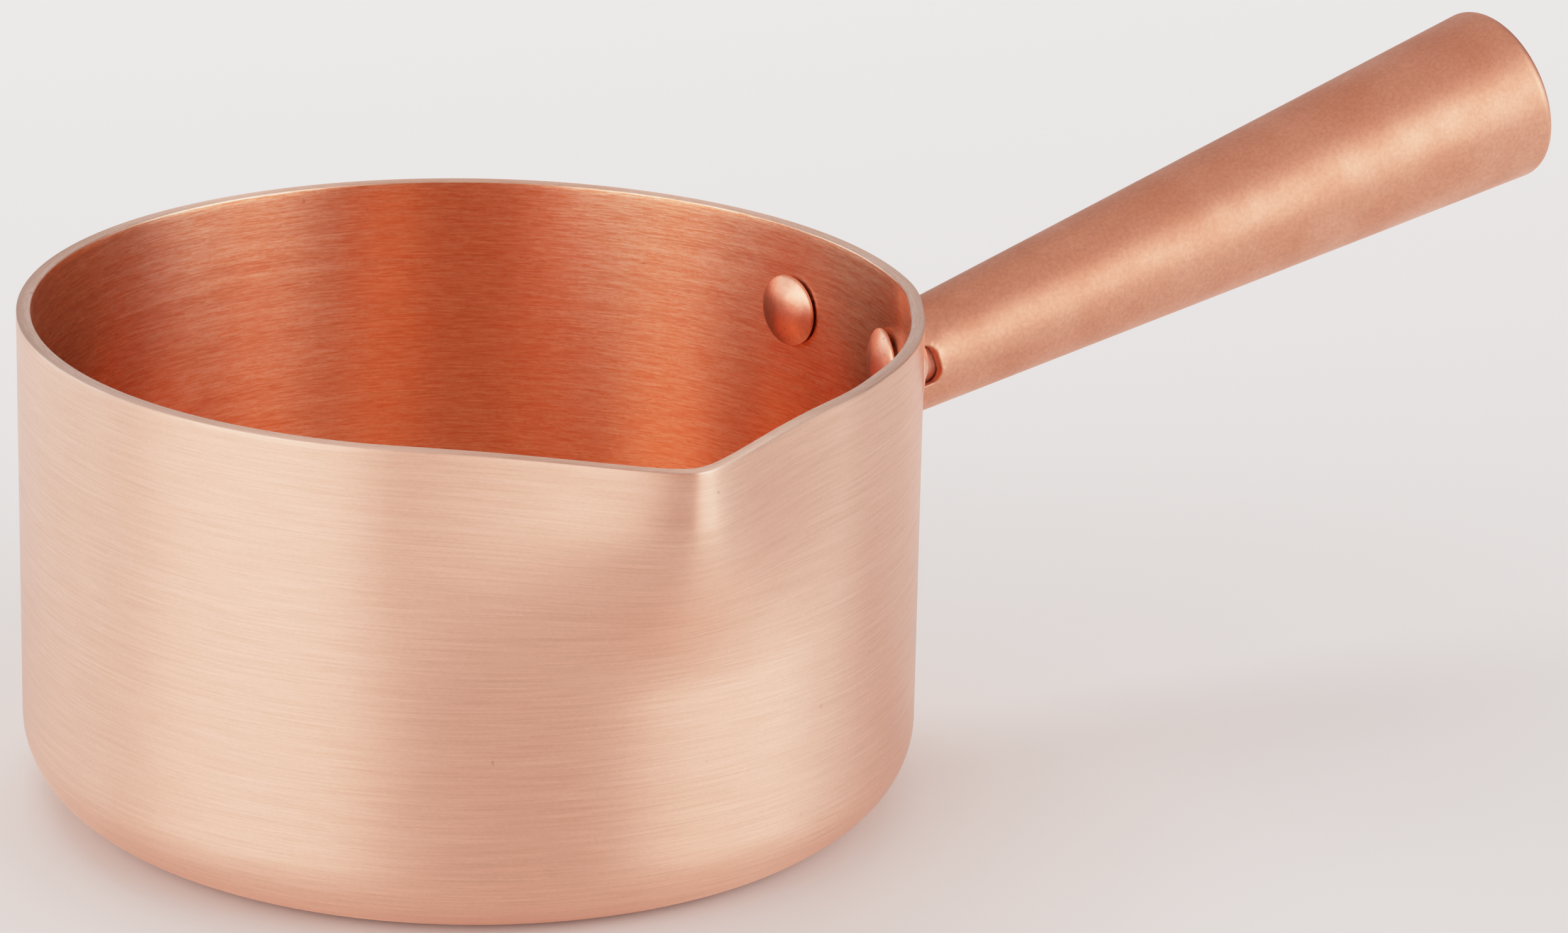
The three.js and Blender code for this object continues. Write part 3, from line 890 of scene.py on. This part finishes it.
RIVET_COLUMNS = 96
RIVET_SOFT = 0.12 * MM  # the round on each of its edges
DOME_ROWS = 22
DOME_PART = 0.97  # how much of the dome is left above the round at its foot
HEAD_ROUND_ROWS = 3
HEAD_ROUND_START = -40  # degrees, where the round at the dome's foot starts
TAIL_ROUND_ROWS = 2
TAIL_ROUND_END = 40  # degrees, where the tail's round meets its chamfer
TAIL_FACE_ROWS = 5
HAMMER_FINENESS = 420
HAMMER_DEPTH = 0.09 * MM
HAMMERED_PART = 0.75  # the dents fade out from this part of the head's radius


def rivet_profile():
    """From the top of the domed head, down the shank to the middle of the tail's face."""
    dome = RIVET_HEAD_HEIGHT - RIVET_EDGE
    dome_radius = (RIVET_HEAD_RADIUS ** 2 + dome ** 2) / (2 * dome)
    dome_turn = math.degrees(math.asin(RIVET_HEAD_RADIUS / dome_radius))
    centre = HEAD_SEAT - RIVET_HEAD_HEIGHT + dome_radius
    soft = RIVET_SOFT
    head_side = RIVET_HEAD_RADIUS - soft
    points = arc(0, centre, dome_radius, -90, -90 + dome_turn * DOME_PART, DOME_ROWS)
    points[0] = (0, centre - dome_radius)
    foot = HEAD_SEAT - RIVET_EDGE + soft
    points += arc(head_side, foot, soft, HEAD_ROUND_START, 0, HEAD_ROUND_ROWS)
    points += arc(head_side, HEAD_SEAT - soft, soft, 0, 90, HEAD_ROUND_ROWS)
    points += [(RIVET_SHANK_RADIUS, HEAD_SEAT), (RIVET_SHANK_RADIUS, TAIL_SEAT)]
    tail_side = RIVET_TAIL_RADIUS - soft
    tail_top = TAIL_SEAT + RIVET_TAIL_HEIGHT
    face = RIVET_TAIL_RADIUS - RIVET_TAIL_CHAMFER
    points += [(tail_side, TAIL_SEAT)]
    tail_edge = TAIL_SEAT + RIVET_EDGE - soft
    points += arc(tail_side, tail_edge, soft, 0, TAIL_ROUND_END, TAIL_ROUND_ROWS)
    points += [(face + soft, tail_top - soft), (face - soft, tail_top)]
    points += line((face - soft, tail_top), (0, tail_top), TAIL_FACE_ROWS)[:-1]
    points += [(0, tail_top)]
    return points


def rivet(name, angle, height):
    """Domed head inside the pan, shank through the wall and plate, chamfered tail."""

    def hammered(radius, along, turn):
        if along > HEAD_SEAT - RIVET_EDGE or radius < TINY:
            return radius, along
        spot = Vector((radius * math.cos(turn), radius * math.sin(turn), height))
        dent = HAMMER_DEPTH * (0.5 + 0.5 * noise.noise(spot * HAMMER_FINENESS))
        fade = 1 - smoothstep(radius, RIVET_HEAD_RADIUS * HAMMERED_PART, RIVET_HEAD_RADIUS)
        return radius, along + dent * fade

    mesh = turned(rivet_profile(), even_angles(RIVET_COLUMNS), hammered)
    turn = Matrix.Rotation(angle, 4, "Z") @ Matrix.Rotation(math.pi / 2, 4, "Y")
    return finish_piece(mesh, name, RIVET_COPPER, Matrix.Translation((0, 0, height)) @ turn)


# ---- The pieces, each in place of its own node ----


def ride(piece, node):
    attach(piece, "root")
    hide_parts(node)


ride(pan_body(), "pan_body")
ride(handle_tube(), "handle_tube")
ride(handle_bracket(), "handle_bracket")
for rivet_name, rivet_angle, rivet_height in (
    ("rivet_spout_side", -UPPER_RIVET_ANGLE, SPOUT_SIDE_RIVET_HEIGHT),
    ("rivet_far_side", UPPER_RIVET_ANGLE, FAR_SIDE_RIVET_HEIGHT),
    ("rivet_lower", 0.0, LOWER_RIVET_HEIGHT),
):
    ride(rivet(rivet_name + "_fine", rivet_angle, rivet_height), rivet_name)

# ---- Floor, light and tone ----


class Softbox(NamedTuple):
    """A soft bright patch of the surroundings. Its azimuth (to the right of the camera) and
    elevation are in degrees. It spreads further with spread, and fades out faster with
    sharpness."""

    azimuth: float
    elevation: float
    sharpness: float
    spread: float
    brightness: float
    colour: tuple


FLOOR_HALF_SIZE = 6.0
FLOOR_COLOUR = rgb(0.80, 0.83, 0.835)
FLOOR_ROUGHNESS = 0.9
FLOOR_SHINE = 0.1
FLOOR_LIGHT_POWER = 17
FLOOR_LIGHT_SIZE = 1.4
FLOOR_LIGHT_HEIGHT = 1.2
FLOOR_LIGHT_AWAY = 1.2
FLOOR_LIGHT_AZIMUTH = -165

FRONT_GLOW = rgb(0.39, 0.132, 0.092)  # dim and warm, from the camera's side
OVERHEAD_GLOW = rgb(0.79, 0.63, 0.58)
WHITE = rgb(1.0, 1.0, 1.0)
COOL = rgb(0.75, 1.0, 1.1)
SOFTBOXES = (
    Softbox(-51.5, -1.5, sharpness=9, spread=2.7, brightness=3.4, colour=WHITE),
    Softbox(71.0, 20, sharpness=18, spread=2.8, brightness=2.8, colour=WHITE),
    Softbox(-113, 0, sharpness=18, spread=2.2, brightness=2.2, colour=COOL),
    Softbox(97, 0, sharpness=22, spread=1.8, brightness=1.9, colour=COOL),
    Softbox(180, 13, sharpness=14, spread=1.0, brightness=0.52, colour=WHITE),
)

SHOULDER = 2.5  # how late, and so how sharply, the highlights are held back
BRIGHTEST = 1.0
CURVE_RANGE = 4.0
CURVE_STEPS = 16
COMBINED_CURVE = 3  # the curve that holds for red, green and blue alike


def direction_from_camera(azimuth, elevation):
    return bearing(CAMERA_AZIMUTH + math.radians(azimuth), math.radians(elevation))


def make_floor():
    mesh = bmesh.new()
    bmesh.ops.create_grid(mesh, x_segments=2, y_segments=2, size=FLOOR_HALF_SIZE)
    data = bpy.data.meshes.new("floor")
    mesh.to_mesh(data)
    mesh.free()
    n = Nodes(bpy.data.materials.new("pale_floor"))
    shader = n.named("Principled BSDF")
    n.feed(shader["Base Color"], FLOOR_COLOUR)
    n.feed(shader["Roughness"], FLOOR_ROUGHNESS)
    n.feed(shader["Specular IOR Level"], FLOOR_SHINE)
    data.materials.append(n.owner)
    floor = bpy.data.objects.new("floor", data)
    bpy.context.scene.collection.objects.link(floor)


def light_floor():
    """A wide light above and behind the pan, for the floor. It shows in no reflection."""
    data = bpy.data.lights.new("floor_light", "AREA")
    data.shape = "SQUARE"
    data.size = FLOOR_LIGHT_SIZE
    data.energy = FLOOR_LIGHT_POWER
    light = bpy.data.objects.new("floor_light", data)
    light.location = direction_from_camera(FLOOR_LIGHT_AZIMUTH, 0) * FLOOR_LIGHT_AWAY
    light.location.z = FLOOR_LIGHT_HEIGHT
    light.visible_glossy = False
    bpy.context.scene.collection.objects.link(light)


def make_studio():
    """The surroundings: a dim warm glow in front, a paler one overhead, and the softboxes."""
    n = Nodes(bpy.data.worlds.new("studio"))
    direction = n.add("ShaderNodeTexCoord").outputs["Generated"]

    def towards(azimuth, elevation):
        inputs = {0: direction, 1: direction_from_camera(azimuth, elevation)}
        return n.add("ShaderNodeVectorMath", inputs, operation="DOT_PRODUCT").outputs["Value"]

    def glow(colour, strength):
        return n.add("ShaderNodeBackground", {"Color": colour, "Strength": strength}).outputs[0]

    def together(one, other):
        return n.add("ShaderNodeAddShader", {0: one, 1: other}).outputs[0]

    up = n.math("MAXIMUM", towards(0, 90), 0.0)
    front = n.remap(towards(0, 0), (-1.0, 1.0), 0.0, 1.0)
    front = n.math("MULTIPLY", n.math("SUBTRACT", 1.0, up), front)
    light = together(glow(FRONT_GLOW, front), glow(OVERHEAD_GLOW, up))
    for softbox in SOFTBOXES:
        near = n.math("MAXIMUM", towards(softbox.azimuth, softbox.elevation), 0.0)
        falloff = n.math("POWER", near, softbox.sharpness)
        patch = n.math("MINIMUM", n.math("MULTIPLY", falloff, softbox.spread), 1.0)
        strength = n.math("MULTIPLY", patch, softbox.brightness)
        light = together(light, glow(softbox.colour, strength))
    n.feed(n.named("World Output")["Surface"], light)
    bpy.context.scene.world = n.owner


def shoulder(tone):
    """Nearly the same tone in the shadows, and never above the brightest one."""
    return tone / (1 + (tone / BRIGHTEST) ** SHOULDER) ** (1 / SHOULDER)


def hold_highlights():
    """A film-like shoulder: bright tones are pressed together and so turn paler."""
    view = bpy.context.scene.view_settings
    view.view_transform = "Standard"
    view.use_curve_mapping = True
    mapping = view.curve_mapping
    mapping.white_level = (CURVE_RANGE, CURVE_RANGE, CURVE_RANGE)
    curve = mapping.curves[COMBINED_CURVE]
    for step in range(1, CURVE_STEPS):
        x = (step / CURVE_STEPS) ** 2
        curve.points.new(x, shoulder(x * CURVE_RANGE))
    curve.points[-1].location = (1, shoulder(CURVE_RANGE))
    mapping.update()


make_floor()
light_floor()
make_studio()
hold_highlights()
